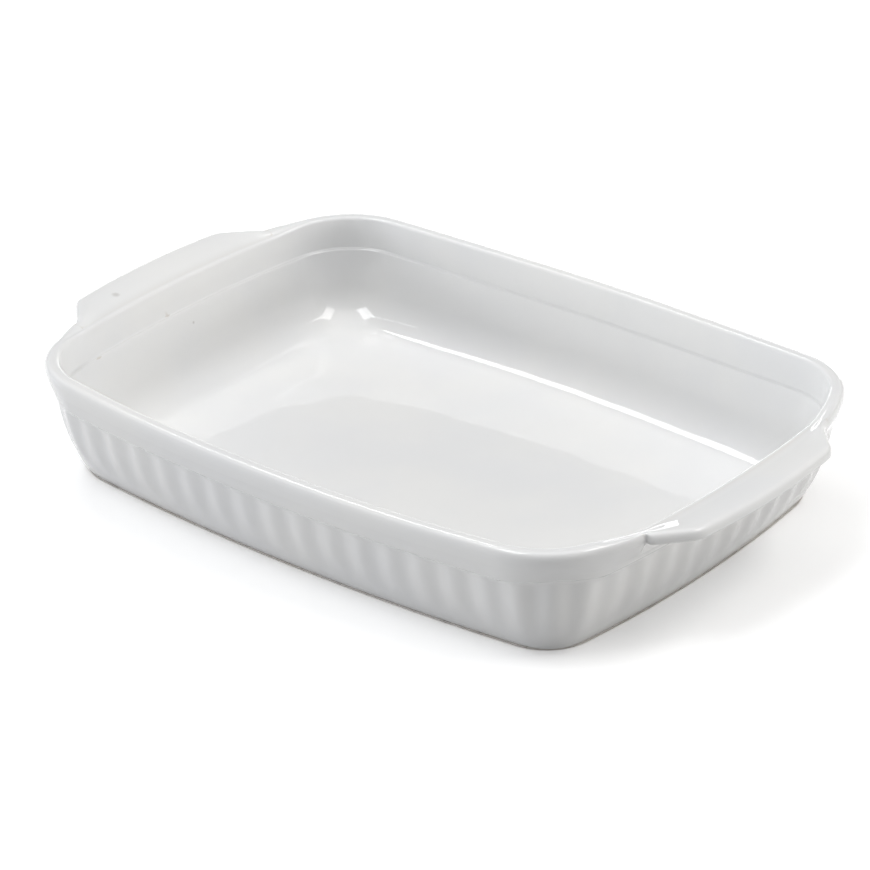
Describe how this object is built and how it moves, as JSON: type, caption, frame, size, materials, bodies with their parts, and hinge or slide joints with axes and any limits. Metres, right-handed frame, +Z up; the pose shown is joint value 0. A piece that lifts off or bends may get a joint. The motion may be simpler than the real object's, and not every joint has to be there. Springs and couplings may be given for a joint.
{
  "type": "lasagna dish",
  "caption": "Rectangular glazed ceramic baking dish with bowed, fluted sides, a rounded rim and flat lug handles on its short ends.",
  "frame": {"origin": "middle of the dish on the surface it stands on, at the underside of the foot ring", "axes": "+Z up out of the open top, +X along the dish from the left handle to the right handle, +Y across the dish away from the pictured long side"},
  "size_m": [0.394, 0.261, 0.0595],
  "materials": {
    "glazed_body": "gloss",
    "glazed_handle": "gloss",
    "bare_foot": "matte"
  },
  "bodies": {
    "root": {"dish_body": "glazed_body", "left_handle": "glazed_handle", "right_handle": "glazed_handle", "foot_ring": "bare_foot"}
  },
  "joints": []
}
